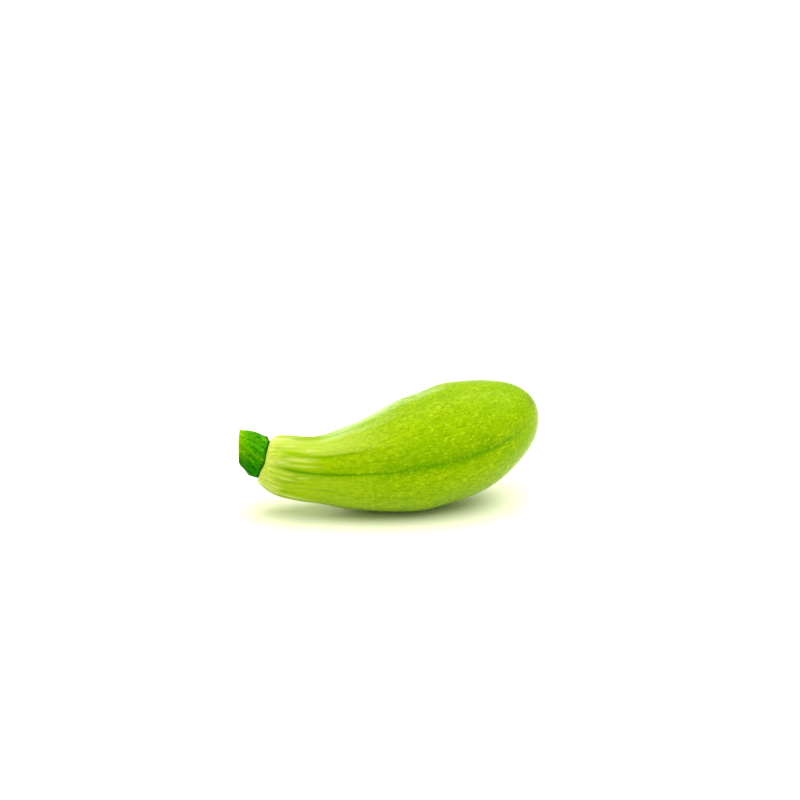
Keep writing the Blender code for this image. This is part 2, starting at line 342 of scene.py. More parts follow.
# Where the skin's colours change, in metres and degrees. The furrow's pairs are for neck and belly.
skinTints = {
    "crestEdge": (0.50, 0.42),
    "crestEdgeDrifts": (0.012, 0.032),
    "crestEdgeWidth": 0.05,
    "ribEnd": (0.86, 1.0),
    "ribEndStart": (0.022, 0.036),
    "crestFades": (0.030, 0.068),
    "furrowBand": (0.45, 0.80),
    "furrowBandWidth": (0.0022, 0.0032),
    "furrowPaintedShade": 0.25,
    "furrowPaintedShadeOff": 0.005,
    "furrowPaintedShadeWidth": 0.0045,
    "furrowLine": (0.75, 0.30),
    "furrowLineWidth": 0.0007,
    # painted highlight on the upper side and on a patch of the rib below it:
    "sideHighlightPatches": [  # angle, width, strength and span
        (40.0, 32.0, 1.0, (0.035, 0.060, 0.120, 0.138)),
        (80.0, 18.0, 0.8, (0.040, 0.052, 0.064, 0.080)),
    ],
    "haloRuffle": 0.088,
    "haloEdge": (0.0042, 0.0090),
    "haloShare": 0.30,
    "scarRuffle": 0.14,
    "ruffleLimit": 0.3 / 0.22,
    "scarEdge": (0.0030, 0.0044),
    "scarShare": 0.70,
    "tipSide": (95.0, 24.0),
    "tipStart": (0.1355, 0.1395),
    "tipShare": 0.40,
}


def paintedCrestHighlight(places, angles):
    # painted highlight, partly paler skin, on the upper half of each rib at the neck, with a clear edge
    # along its crest
    tints = skinTints
    step = 2.0 * math.pi / fruitForm["ribs"]
    turn = furrowTurn(places, angles)
    upper = (-turn / step) % 1.0
    crest = blend(tints["crestEdge"], smoothRamp(*tints["crestEdgeDrifts"], places))
    edge = smoothRamp(0.0, tints["crestEdgeWidth"], upper - crest + tints["crestEdgeWidth"] / 2)
    edge *= 1.0 - smoothRamp(*tints["ribEnd"], upper) * smoothRamp(*tints["ribEndStart"], places)
    fade = 1.0 - smoothRamp(*tints["crestFades"], places)
    return edge * perRib(fruitForm["crestShares"], turn + step / 2) * fade


def furrowTint(places, angles):
    # a wide darker band, partly the skin's own stripe and partly painted shade, a softer painted shade
    # beside it on the belly, and a fine dark line in the crease, also partly painted shade
    tints = skinTints
    turn = furrowTurn(places, angles)
    across = fromFurrow(places, turn)
    belly = within(fruitForm["bellySpan"], places)
    tint = blend(tints["furrowBand"], belly) * bell(across, blend(tints["furrowBandWidth"], belly))
    shade = bell(across + tints["furrowPaintedShadeOff"], tints["furrowPaintedShadeWidth"])
    tint = tint + tints["furrowPaintedShade"] * belly * shade
    tint = tint + blend(tints["furrowLine"], belly) * bell(across, tints["furrowLineWidth"])
    return tint * perRib(fruitForm["furrowTints"], turn) * furrowReach(places)


# painted highlight: paler, yellower skin on the upper side and on a patch below it
def sideHighlightPatches(places, angles):
    total = 0.0
    for middle, width, strength, span in skinTints["sideHighlightPatches"]:
        total = total + strength * besideAngle(angles, middle, width) * within(span, places)
    return np.clip(total, 0.0, 1.0)


def scarStain(places, angles, radii, ruffle):
    # a faint halo, the dark scar with its ragged rim, and a browner patch beside the tip
    tints = skinTints
    halo = 1.0 - smoothRamp(*tints["haloEdge"], radii * (1.0 + tints["haloRuffle"] * ruffle))
    rim = 1.0 + tints["scarRuffle"] * np.tanh(ruffle / tints["ruffleLimit"])
    stain = tints["haloShare"] * halo
    stain = stain + tints["scarShare"] * (1.0 - smoothRamp(*tints["scarEdge"], radii * rim))
    tip = besideAngle(angles, *tints["tipSide"]) * smoothRamp(*tints["tipStart"], places)
    return stain + tints["tipShare"] * tip * (1.0 - stain)


def gridObject(name, rings, startPole, endPole):
    # closed body from rings of points, with a point at each end
    count, around = rings.shape[:2]
    points = np.concatenate([rings.reshape(-1, 3), [startPole], [endPole]])
    here = np.arange(around)
    there = (here + 1) % around
    faces = []
    for ring in range(count - 1):
        low = ring * around
        high = low + around
        faces += np.stack([low + here, low + there, high + there, high + here], 1).tolist()
    last = (count - 1) * around
    faces += np.stack([there, here, 0 * here + count * around], 1).tolist()
    faces += np.stack([last + here, last + there, 0 * here + count * around + 1], 1).tolist()
    data = bpy.data.meshes.new(name)
    data.from_pydata(points.tolist(), [], faces)
    data.shade_smooth()
    piece = bpy.data.objects.new(name, data)
    bpy.context.scene.collection.objects.link(piece)
    return piece


def faceOutwards(piece):
    mesh = bmesh.new()
    mesh.from_mesh(piece.data)
    bmesh.ops.recalc_face_normals(mesh, faces=mesh.faces)
    mesh.to_mesh(piece.data)
    mesh.free()


def keepValue(piece, name, values, startValue, endValue):
    layer = piece.data.attributes.new(name, "FLOAT", "POINT")
    layer.data.foreach_set("value", np.concatenate([values.ravel(), [startValue, endValue]]))


def keepPlace(piece, name, values, startValue, endValue):
    # place on the straightened piece in millimetres, which patterns follow round the bend
    layer = piece.data.attributes.new(name, "FLOAT_VECTOR", "POINT")
    places = np.concatenate([values.reshape(-1, 3), [startValue, endValue]])
    layer.data.foreach_set("vector", places.ravel() * millimetres)


def toRow(points, shift):
    return points @ lying.T + shift


def fruitRings():
    # distance along the middle line and radius of every ring, from the stem's seat to the blossom scar
    form = fruitForm
    widest, radius = form["profile"][-1]
    reach = form["length"] - widest
    edge = widest + reach * math.sqrt(1.0 - (form["scarRadius"] / radius) ** 2)
    seat = np.arange(1, form["seatRings"] + 1) / form["seatRings"] * form["seatRadius"]
    first = math.acos(1.0 - 2.0 * form["seatPlace"] / form["length"])
    turn = np.linspace(first, math.acos(1.0 - 2.0 * edge / form["length"]), form["rings"])
    skin = form["length"] * (1.0 - np.cos(turn)) / 2.0
    inset = 1.0 - np.arange(1, form["scarRings"]) / form["scarRings"]
    dish = form["scarRim"] * np.sin(math.pi * inset)
    dish = dish - form["scarDepth"] * (1.0 - smoothRamp(0.0, form["scarFloor"], inset))
    places = np.concatenate([0 * seat + form["seatPlace"], skin, edge + dish])
    radii = np.concatenate([seat, fruitRadius(skin), form["scarRadius"] * inset])
    onSkin = np.concatenate([0 * seat, 1 + 0 * skin, 0 * inset])
    return places, radii, onSkin, edge


def shiftToBox(lain):
    # to the middle of the solid's box, and down until the belly is pressed flat
    low, high = lain.reshape(-1, 3).min(0), lain.reshape(-1, 3).max(0)
    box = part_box("fruit")
    shift = (np.array(box[0]) + np.array(box[1]) - low - high) / 2
    shift[2] = -low[2] - fruitForm["flatDepth"]
    return shift


def makeFruit():
    form = fruitForm
    places, radii, onSkin, edge = fruitRings()
    angles = evenAngles(form["segments"])
    s, a = places[:, None], angles[None, :]
    r = radii[:, None] + (skinHeight(s, a) - skinRelief(s, a)) * onSkin[:, None]
    blossomEnd = smoothRamp(*form["blossomEnd"], s) * np.ones_like(a)
    ruffle = fruitWave("ruffle", s, a)
    wavy = blossomEnd * within(form["scarWaveSpan"], r)
    r = r * (1.0 + form["scarWave"] * ruffle * wavy)
    centre, _, inward = middleLine(places)
    ways = np.cos(a)[..., None] * inward[:, None] + np.sin(a)[..., None] * sideWay
    lain = (centre[:, None] + r[..., None] * ways) @ lying.T
    shift = shiftToBox(lain)
    rings = lain + shift
    rings[..., 2] = np.maximum(rings[..., 2], 0.0)
    bottom = edge - form["scarDepth"]
    tipCentre = middleLine(np.array([bottom]))[0][0]
    piece = gridObject("fruitSkin", rings, toRow(centre[0], shift), toRow(tipCentre, shift))
    straight = np.stack([s + 0 * a, r * np.cos(a), r * np.sin(a)], -1)
    keepPlace(piece, "skinPlace", straight, [0, 0, 0], [bottom, 0, 0])
    keepValue(piece, "furrow", furrowTint(s, a), 0, 0)
    lines = neckLines
    pale = linesAlong(s, a, lines["pale"], lines["randomPale"], lines["paleSeed"])
    fanned = a - np.radians(readProfile(form["furrowDrift"], s) - lines["fanMiddle"])
    dark = linesAlong(s, fanned, lines["dark"], lines["randomDark"], lines["darkSeed"])
    keepValue(piece, "paleLine", pale * onSkin[:, None], 0, 0)
    keepValue(piece, "darkLine", dark * onSkin[:, None], 0, 0)
    # painted highlight on the ribs at the neck
    keepValue(piece, "crestHighlight", paintedCrestHighlight(s, a), 0, 0)
    # painted highlight on the upper side
    keepValue(piece, "paintedSideHighlight", sideHighlightPatches(s, a), 0, 0)
    keepValue(piece, "scar", scarStain(s, a, r, ruffle) * blossomEnd, 0, 1)
    faceOutwards(piece)
    return piece, shift


# The stem's form, in metres and degrees. Places along it are shares of its length.
stemForm = {
    "length": 0.0129,
    "profile": [
        (0.00, 0.0093), (0.12, 0.0098), (0.35, 0.0099),
        (0.60, 0.0089), (0.80, 0.0079), (1.00, 0.0072),
    ],
    "lift": 12.0,
    "cutTurn": 13.4,
    "corners": 5,
    "cornerAngle": 146.7,
    "cornerHeight": 0.0006,
    "cornerStart": (0.0, 0.2),
    "ridges": 15,
    "ridgeHeight": 0.00022,
    "ridgeTwist": 20.0,
    "fibreTwist": 11.0,
    "fibreStart": (0.0, 0.08),
    "hollowDepth": 0.0011,
    "hollowSide": (188.0, 36.0),
    "hollowFades": (0.1, 0.5),
    "footReach": 0.0004,
    "footBulge": 0.0022,
    "bulgeAngle": 100.0,
    "bulgeSharpness": 2.5,
    "flareFades": (0.0, 0.30),
    "flareSharpness": 1.5,
    "crownHeight": 0.0007,
    "crownSide": (8.0, 38.0),
    "crownFades": (0.6, 1.0),
    "knobHeight": 0.0010,
    "knobAngle": 13.0,
    "knobWidth": 0.16,  # radians
    "knobSpan": (0.09, 0.07),
    "darkKnobSpan": (0.08, 0.09),
    "undersideAngle": 168.0,
    "undersideEdge": (0.35, 0.95),
    "footGap": 0.0003,
    "shoulderReach": 0.006,
    "drapeFades": (0.0, 0.16),
    "drapeSteps": 200,
    "sunk": 0.0006,
    "footTuck": 0.06,
    "cutDish": 0.0006,
    "pithDip": 0.00030,
    "pithEdge": (0.0, 0.24),
    "lipHeight": 0.00016,
    "lipSpan": (0.93, 0.05),
    "tearStart": (0.0, 0.2),
    "waves": {  # height, seed, fewest and most lobes round it, shortest wave along it, how many
        "wander": (0.05, 41, (1, 4), 1.6, 8),
        "fibres": (0.00010, 42, (30, 76), 0.9, 34),
        "lumps": (0.00008, 43, (3, 12), 0.35, 24),
        "tear": (0.00007, 44, (20, 70), 0.20, 30),
        "cutSwell": (0.00009, 45, (2, 9), 0.5, 12),
    },
    "segments": 240,
    "wallRings": 90,
    "cutRings": 26,
    "sharpAngle": 50.0,
}


def stemWave(name, share, angles):
    return wavesRound(share, angles, *stemForm["waves"][name])


def knobBump(share, angles, span):
    place, length = span
    turn = turnFrom(angles, stemForm["knobAngle"])
    return bell(turn, stemForm["knobWidth"]) * bell(share - place, length)


def stemRelief(share, angles):
    form = stemForm
    turn = angles - math.radians(form["cornerAngle"]) + stemWave("wander", share, angles)
    twist = math.radians(form["ridgeTwist"]) * share
    corner = form["cornerHeight"] * np.cos(form["corners"] * turn)
    ridge = form["ridgeHeight"] * np.cos(form["ridges"] * (turn + twist))
    fine = stemWave("fibres", share, angles + twist) + stemWave("lumps", share, angles)
    knob = form["knobHeight"] * knobBump(share, angles, form["knobSpan"])
    crown = form["crownHeight"] * besideAngle(angles, *form["crownSide"])
    crown = crown * (1.0 - smoothRamp(*form["crownFades"], share))
    bulge = ripple(angles - math.radians(form["bulgeAngle"]), 2, form["bulgeSharpness"])
    flare = form["footReach"] + form["footBulge"] * bulge
    flare = flare * (1.0 - smoothRamp(*form["flareFades"], share)) ** form["flareSharpness"]
    hollow = form["hollowDepth"] * besideAngle(angles, *form["hollowSide"])
    hollow = hollow * (1.0 - smoothRamp(*form["hollowFades"], share))
    grown = (corner + ridge) * smoothRamp(*form["cornerStart"], share)
    return grown + fine * smoothRamp(*form["fibreStart"], share) + knob + crown + flare - hollow


def stemLines():
    # the foot's middle and the cut's, the ways along the fruit, inward and along the stem, and the cut's way
    form = stemForm
    centre, along, inward = (part[0] for part in middleLine(np.array([fruitForm["seatPlace"]])))
    foot = centre - along * form["footGap"]
    lift = math.radians(form["lift"])
    reach = math.sin(lift) * inward - math.cos(lift) * along
    cutTurn = math.radians(form["cutTurn"])
    cutWay = lying.T @ np.array([-math.cos(cutTurn), math.sin(cutTurn), 0.0])
    return foot, foot + reach * form["length"], along, inward, reach, cutWay


def stemWall(s, a, r):
    # the sunk ring under the skin and the sides, which drape over the shoulder and end in the slanting cut
    form = stemForm
    foot, cutMiddle, along, inward, reach, cutWay = stemLines()
    edge = foot + r[..., None] * (np.cos(a)[..., None] * inward + np.sin(a)[..., None] * sideWay)
    toCut = (cutMiddle - edge) @ cutWay / (reach @ cutWay)
    sides = edge + reach * (toCut * s)[..., None]
    seat = fruitForm["seatPlace"]
    fine = np.linspace(seat, form["shoulderReach"], form["drapeSteps"])
    onShoulder = np.interp(r[:1], fruitRadius(fine), fine) - seat
    drape = (1.0 - smoothRamp(*form["drapeFades"], s)) ** form["flareSharpness"]
    sides = sides + along * (onShoulder * drape)[..., None]
    sunk = sides[0] + along * form["sunk"] - form["footTuck"] * (edge[0] - foot)
    return np.concatenate([sunk[None], sides])


def stemCut(rim, inset, a):
    # a dished cut with torn fibres, a low lip at its rim and a dip at the pith
    form = stemForm
    _, cutMiddle, _, _, reach, _ = stemLines()
    flat = cutMiddle + inset[..., None] * (rim - cutMiddle)
    dish = form["cutDish"] * (1.0 - inset * inset)
    dish = dish + form["pithDip"] * (1.0 - smoothRamp(*form["pithEdge"], inset))
    tear = stemWave("tear", inset, a) + stemWave("cutSwell", inset, a)
    lipPlace, lipWidth = form["lipSpan"]
    lip = form["lipHeight"] * bell(inset - lipPlace, lipWidth)
    return flat - reach * (dish + tear * smoothRamp(*form["tearStart"], inset) - lip)[..., None]


def overStem(wall, cut):
    # values for the sunk ring, the wall and the cut
    return np.concatenate([wall[:1], wall, cut])


def makeStem(shift):
    form = stemForm
    a = evenAngles(form["segments"])[None, :]
    s = np.linspace(0.0, 1.0, form["wallRings"])[:, None]
    r = readProfile(form["profile"], s) + stemRelief(s, a)
    inset = 1.0 - np.arange(1, form["cutRings"] + 1)[:, None] / (form["cutRings"] + 1)
    wall = stemWall(s, a, r)
    rings = np.concatenate([wall, stemCut(wall[-1], inset, a)])
    foot, cutMiddle, along, _, reach, _ = stemLines()
    start = toRow(foot + along * form["sunk"], shift)
    end = toRow(cutMiddle - reach * (form["cutDish"] + form["pithDip"]), shift)
    piece = gridObject("stemStub", toRow(rings, shift), start, end)
    share = overStem(s, 1 + 0 * inset)
    axial = share * form["length"]
    radial = overStem(r, inset * r[-1:])
    twisted = a + math.radians(form["fibreTwist"]) * share
    place = np.stack([axial + 0 * a, radial * np.cos(twisted), radial * np.sin(twisted)], -1)
    keepPlace(piece, "stemPlace", place, [0, 0, 0], [form["length"], 0, 0])
    keepValue(piece, "alongStem", share + 0 * a, 0, 1)
    keepValue(piece, "cutDepth", overStem(0 * s, 1 - inset) + 0 * a, 0, 1)
    onCut = 0 * inset + 0 * a
    crest = np.cos(form["ridges"] * (a - np.radians(form["cornerAngle"] - form["ridgeTwist"] * s)))
    keepValue(piece, "crest", 0.5 + 0.5 * overStem(crest, onCut), 0.5, 0.5)
    # painted shade on the stem's lower side
    below = smoothRamp(*form["undersideEdge"], np.cos(a - math.radians(form["undersideAngle"])))
    keepValue(piece, "underside", overStem(below + 0 * s, onCut), 0, 0)
    keepValue(piece, "knob", overStem(knobBump(s, a, form["darkKnobSpan"]), onCut), 0, 0)
    faceOutwards(piece)
    wallFaces = form["segments"] * form["wallRings"]
    slots = np.zeros(len(piece.data.polygons), dtype=np.int32)
    slots[wallFaces:wallFaces + form["segments"] * form["cutRings"]] = 1
    slots[-form["segments"]:] = 1
    piece.data.polygons.foreach_set("material_index", slots)
    piece.data.set_sharp_from_angle(angle=math.radians(form["sharpAngle"]))
    return piece


# Materials


def socketOf(node, name):
    # n0 stands for the first socket, and so on
    if name[0] == "n" and name[1:].isdigit():
        return node.inputs[int(name[1:])]
    return node.inputs[name.replace("_", " ")]


def addNode(tree, kind, settings=None, **sockets):
    made = tree.nodes.new(kind)
    for name, value in (settings or {}).items():
        setattr(made, name, value)
    for name, value in sockets.items():
        socket = socketOf(made, name)
        if isinstance(value, bpy.types.NodeSocket):
            tree.links.new(value, socket)
        else:
            socket.default_value = value
    return made


def attribute(tree, name, output="Fac"):
    return addNode(tree, "ShaderNodeAttribute", {"attribute_name": name}).outputs[output]


def mixColour(tree, amount, first, second):
    made = addNode(tree, "ShaderNodeMix", {"data_type": "RGBA"}, n0=amount, n6=first, n7=second)
    return made.outputs[2]


def doMath(tree, operation, first, second, clamp=False):
    settings = {"operation": operation, "use_clamp": clamp}
    return addNode(tree, "ShaderNodeMath", settings, n0=first, n1=second).outputs[0]


def times(tree, first, second, clamp=False):
    return doMath(tree, "MULTIPLY", first, second, clamp)


def plus(tree, first, second):
    return doMath(tree, "ADD", first, second)


def rescale(tree, value, low, high, start=0.0, end=1.0):
    made = addNode(
        tree, "ShaderNodeMapRange", Value=value, From_Min=low, From_Max=high, To_Min=start, To_Max=end)
    return made.outputs[0]


def stretched(tree, place, along):
    stretch = (along, 1.0, 1.0)
    return addNode(tree, "ShaderNodeVectorMath", {"operation": "MULTIPLY"}, n0=place, n1=stretch).outputs[0]


def noise(tree, place, scale, detail=3.0, roughness=0.5):
    made = addNode(tree, "ShaderNodeTexNoise", Vector=place, Scale=scale, Detail=detail, Roughness=roughness)
    return made.outputs[0]


def pattern(tree, place, along, scale, detail=3.0, roughness=0.5):
    return noise(tree, stretched(tree, place, along), scale, detail, roughness)


def spots(tree, place, along, cell, size, softness, least=0.45, most=1.25):
    # dots in cells, both sizes in millimetres; each dot is between least and most times that size
    place = stretched(tree, place, along)
    cells = {"Vector": place, "Scale": 1.0 / cell, "Randomness": 1.0}
    made = addNode(tree, "ShaderNodeTexVoronoi", {"feature": "F1"}, **cells)
    tint = addNode(tree, "ShaderNodeSeparateColor", Color=made.outputs["Color"]).outputs[0]
    reach = times(tree, rescale(tree, tint, 0.0, 1.0, least, most), size / cell)
    inside = doMath(tree, "SUBTRACT", reach, made.outputs["Distance"])
    return rescale(tree, inside, 0.0, softness / cell)


def newMaterial(name):
    material = bpy.data.materials.new(name)
    material.use_nodes = True
    tree = material.node_tree
    return material, tree, tree.nodes["Principled BSDF"]


def finishShader(tree, shader, colour, roughness, height, strength, distance):
    tree.links.new(colour, shader.inputs["Base Color"])
    tree.links.new(roughness, shader.inputs["Roughness"])
    bump = addNode(tree, "ShaderNodeBump", Height=height, Strength=strength, Distance=distance)
    tree.links.new(bump.outputs[0], shader.inputs["Normal"])


# Patterns give a stretch along the fruit, scale, detail and roughness; pores and patches have no stretch.
# Masks give from, to, and the values at both. Dots give stretch, cell, size and softness.
skinLook = {
    "green": (0.240, 0.385, 0.0005, 1.0),
    "deepGreen": (0.195, 0.355, 0.0005, 1.0),
    # furrow colour: partly the skin's own darker stripe, partly painted shade in the furrow
    "furrowGreen": (0.070, 0.220, 0.0005, 1.0),
    "lineGreen": (0.130, 0.26, 0.0005, 1.0),
    "neckGreen": (0.31, 0.44, 0.002, 1.0),
    # paler green for the painted highlight on the upper side
    "sideHighlightGreen": (0.33, 0.47, 0.004, 1.0),
    "cream": (0.54, 0.60, 0.11, 1.0),
    "streak": (0.58, 0.62, 0.18, 1.0),
    "fleck": (0.42, 0.52, 0.012, 1.0),
    "mark": (0.130, 0.265, 0.0005, 1.0),
    "scar": (0.10, 0.12, 0.015, 1.0),
    "ior": 1.22,
    "sheenTint": (0.75, 1.0, 0.0, 1.0),
    "roughness": (0.16, 0.28),
    "bump": (0.5, 0.00008),
    "cloud": (0.5, 0.11),
    "threads": (0.07, 0.85, 4.0, 0.6),
    "marks": (0.42, 0.80, 2.0, 0.5),
    "fineMarks": (0.13, 1.5, 3.0, 0.55),
    "smallDots": (0.52, 0.90, 0.46, 0.36),
    "largeDots": (0.50, 1.36, 0.60, 0.44),
    "dotPatches": (0.13, 2.0),
    "pores": (2.6, 3.0, 0.6),
    "glossPatches": (0.7, 3.0),
    "deepMask": (0.35, 0.70),
    "neckMask": (78.0, 4.0),
    "neckThreadMask": (0.36, 0.60, 1.0, 0.5),
    "threadMask": (0.50, 0.68, 0.0, 0.35),
    "furrowMask": (0.25, 0.6, 0.7, 1.0),
    "speckleMask": (18.0, 52.0, 0.15, 1.0),
    "markMask": (0.47, 0.62, 0.0, 0.55),
    "fineMarkMask": (0.53, 0.66, 0.0, 0.55),
    "dotPatchMask": (0.34, 0.62, 0.65, 1.0),
    "clearFurrowMask": (0.0, 1.0, 0.80, 0.50),
    "brokenMask": (0.34, 0.60, 1.0, 0.50),
    "shoulderMask": (12.0, 2.0),
    "shoulderLineMask": (0.0, 0.75, 1.0, 0.35),
    "glossMask": (0.3, 0.7),
    "sideHighlightShare": 0.45,
    "crestHighlightShare": 0.38,
    "darkLineShare": 0.75,
    "smallDotShare": 0.7,
    "bumpShares": (0.5, 0.5, 0.8),
}


def skinSpeckle(tree, place, density, furrow):
    # dots in two sizes, fainter in patches and near the stem, and the same with less of them in the furrows
    look = skinLook
    small = times(tree, spots(tree, place, *look["smallDots"]), look["smallDotShare"])
    dots = doMath(tree, "MAXIMUM", spots(tree, place, *look["largeDots"]), small)
    patches = rescale(tree, noise(tree, place, *look["dotPatches"]), *look["dotPatchMask"])
    dots = times(tree, times(tree, dots, patches), density)
    return dots, times(tree, dots, rescale(tree, furrow, *look["clearFurrowMask"]))


def makeSkinMaterial():
    look = skinLook
    material, tree, shader = newMaterial("courgetteSkin")
    place = attribute(tree, "skinPlace", "Vector")
    distance = addNode(tree, "ShaderNodeSeparateXYZ", Vector=place).outputs[0]
    furrow = attribute(tree, "furrow")
    cloud = pattern(tree, place, *look["cloud"])
    threads = pattern(tree, place, *look["threads"])
    density = rescale(tree, distance, *look["speckleMask"])
    colour = mixColour(tree, rescale(tree, cloud, *look["deepMask"]), look["green"], look["deepGreen"])
    # painted highlight on the upper side, in a paler green
    paintedSideHighlight = times(tree, attribute(tree, "paintedSideHighlight"), look["sideHighlightShare"])
    colour = mixColour(tree, paintedSideHighlight, colour, look["sideHighlightGreen"])
    neckThreads = rescale(tree, threads, *look["neckThreadMask"])
    neck = times(tree, rescale(tree, distance, *look["neckMask"]), neckThreads, True)
    colour = mixColour(tree, neck, colour, look["neckGreen"])
    colour = mixColour(tree, rescale(tree, threads, *look["threadMask"]), colour, look["lineGreen"])
    # darker furrow: partly the skin's own stripe, partly painted shade in the furrow and beside it
    inFurrow = times(tree, furrow, rescale(tree, cloud, *look["furrowMask"]), True)
    colour = mixColour(tree, inFurrow, colour, look["furrowGreen"])
    for kind, mask in ((look["marks"], look["markMask"]), (look["fineMarks"], look["fineMarkMask"])):
        marks = rescale(tree, pattern(tree, place, *kind), *mask)
        colour = mixColour(tree, times(tree, marks, density), colour, look["mark"])
    dots, flecks = skinSpeckle(tree, place, density, furrow)
    colour = mixColour(tree, flecks, colour, look["fleck"])
    # painted highlight, partly paler skin, on the upper half of each rib at the neck, mixed in cream
    crestHighlight = times(tree, attribute(tree, "crestHighlight"), look["crestHighlightShare"])
    colour = mixColour(tree, crestHighlight, colour, look["cream"])
    darkLine = times(tree, attribute(tree, "darkLine"), look["darkLineShare"])
    colour = mixColour(tree, darkLine, colour, look["lineGreen"])
    broken = rescale(tree, threads, *look["brokenMask"])
    colour = mixColour(tree, times(tree, attribute(tree, "paleLine"), broken), colour, look["streak"])
    shoulder = times(tree, rescale(tree, distance, *look["shoulderMask"]), broken)
    shoulder = times(tree, shoulder, rescale(tree, darkLine, *look["shoulderLineMask"]))
    colour = mixColour(tree, shoulder, colour, look["cream"])
    colour = mixColour(tree, attribute(tree, "scar"), colour, look["scar"])
    shader.inputs["IOR"].default_value = look["ior"]
    shader.inputs["Specular Tint"].default_value = look["sheenTint"]
    gloss = rescale(
        tree, noise(tree, place, *look["glossPatches"]), *look["glossMask"], *look["roughness"])
    poreShare, dotShare, threadShare = look["bumpShares"]
    pores = times(tree, noise(tree, place, *look["pores"]), poreShare)
    height = plus(tree, pores, times(tree, dots, dotShare))
    height = plus(tree, height, times(tree, threads, threadShare))
    finishShader(tree, shader, colour, gloss, height, *look["bump"])
    return material


stemLook = {
    "dark": (0.002, 0.085, 0.0005, 1.0),
    "mid": (0.048, 0.30, 0.0005, 1.0),
    "light": (0.18, 0.46, 0.0005, 1.0),
    # darkest green for the painted shade on the stem's lower side
    "underside": (0.0030, 0.17, 0.0005, 1.0),
    # darkest green for the painted shade at the stem's foot
    "foot": (0.004, 0.06, 0.0005, 1.0),
    "rim": (0.27, 0.38, 0.01, 1.0),
    "ior": 1.13,
    "sheenTint": (0.12, 1.0, 0.0, 1.0),
    "roughness": (0.38, 0.55),
    "bump": (0.7, 0.00018),
    "fibres": (0.17, 2.2, 4.0, 0.6),
    "patches": (0.5, 0.28),
    "grain": (3.5, 2.0),
    "fibreMask": (0.42, 0.55),
    "patchMask": (0.36, 0.62, 0.0, 0.7),
    "towardsCutMask": (0.45, 0.85, 0.0, 0.8),
    "brightFibreMask": (0.38, 0.52, 0.4, 1.0),
    "cutEdgeHighlightMask": (0.88, 0.98),
    "lowFibreMask": (0.42, 0.58),
    "footShadeMask": (0.12, 0.03),
    "glossMask": (0.3, 0.7),
    "cutEdgeHighlightShare": 0.85,
    "undersideShare": 0.9,
    "footUneven": 0.05,
    "grainShare": 0.4,
}


def makeStemMaterial():
    look = stemLook
    material, tree, shader = newMaterial("courgetteStem")
    place = attribute(tree, "stemPlace", "Vector")
    share = attribute(tree, "alongStem")
    fibres = pattern(tree, place, *look["fibres"])
    patches = pattern(tree, place, *look["patches"])
    colour = mixColour(tree, rescale(tree, fibres, *look["fibreMask"]), look["dark"], look["mid"])
    bright = times(tree, attribute(tree, "crest"), rescale(tree, patches, *look["patchMask"]))
    bright = doMath(tree, "MAXIMUM", bright, rescale(tree, share, *look["towardsCutMask"]))
    bright = times(tree, bright, rescale(tree, fibres, *look["brightFibreMask"]), True)
    colour = mixColour(tree, bright, colour, look["light"])
    # painted highlight along the cut's edge on the stem's wall, in the cut's pale rim colour
    rim = times(tree, rescale(tree, share, *look["cutEdgeHighlightMask"]), look["cutEdgeHighlightShare"])
    colour = mixColour(tree, rim, colour, look["rim"])
    # painted shade: darker colours on the stem's lower side
    low = mixColour(tree, rescale(tree, fibres, *look["lowFibreMask"]), look["dark"], look["underside"])
    below = times(tree, attribute(tree, "underside"), look["undersideShare"])
    colour = mixColour(tree, below, colour, low)
    # painted shade at the foot, where the stem meets the fruit, and a darker patch on the knob
    foot = rescale(tree, plus(tree, share, times(tree, patches, look["footUneven"])), *look["footShadeMask"])
    foot = doMath(tree, "MAXIMUM", foot, attribute(tree, "knob"))
    colour = mixColour(tree, foot, colour, look["foot"])
    shader.inputs["IOR"].default_value = look["ior"]
    shader.inputs["Specular Tint"].default_value = look["sheenTint"]
    gloss = rescale(tree, fibres, *look["glossMask"], *look["roughness"])
    height = plus(tree, fibres, times(tree, noise(tree, place, *look["grain"]), look["grainShare"]))
    finishShader(tree, shader, colour, gloss, height, *look["bump"])
    return material


cutLook = {
    "pith": (0.52, 0.62, 0.26, 1.0),
    "pithGreen": (0.24, 0.42, 0.06, 1.0),
    "pithDark": (0.18, 0.24, 0.05, 1.0),
    "roughness": (0.45, 0.7),
    "bump": (0.6, 0.00016),
    "blot": (0.45, 3.0),
    "strands": (0.0, 1.15, 0.34, 0.22),
    "grain": (2.2, 3.0),
    "uneven": 0.22,
    "greenMask": (0.10, 0.26),
    "pithMask": (0.24, 0.46),
    "middleMask": (0.80, 0.97),
    "bandStart": (0.12, 0.22),
    "bandEnd": (0.62, 0.42),
    "glossMask": (0.3, 0.7),
}


def makeCutMaterial():
    look = cutLook
    material, tree, shader = newMaterial("courgetteStemCut")
    place = attribute(tree, "stemPlace", "Vector")
    blot = noise(tree, place, *look["blot"])
    uneven = times(tree, doMath(tree, "SUBTRACT", blot, 0.5), look["uneven"])
    ring = plus(tree, attribute(tree, "cutDepth"), uneven)
    colour = mixColour(tree, rescale(tree, ring, *look["greenMask"]), stemLook["rim"], look["pithGreen"])
    colour = mixColour(tree, rescale(tree, ring, *look["pithMask"]), colour, look["pith"])
    colour = mixColour(tree, rescale(tree, ring, *look["middleMask"]), colour, look["pithDark"])
    strands = spots(tree, place, *look["strands"])
    band = times(
        tree, rescale(tree, ring, *look["bandStart"]), rescale(tree, ring, *look["bandEnd"]), True)
    colour = mixColour(tree, times(tree, strands, band), colour, look["pithGreen"])
    gloss = rescale(tree, blot, *look["glossMask"], *look["roughness"])
    height = plus(tree, strands, noise(tree, place, *look["grain"]))
    finishShader(tree, shader, colour, gloss, height, *look["bump"])
    return material


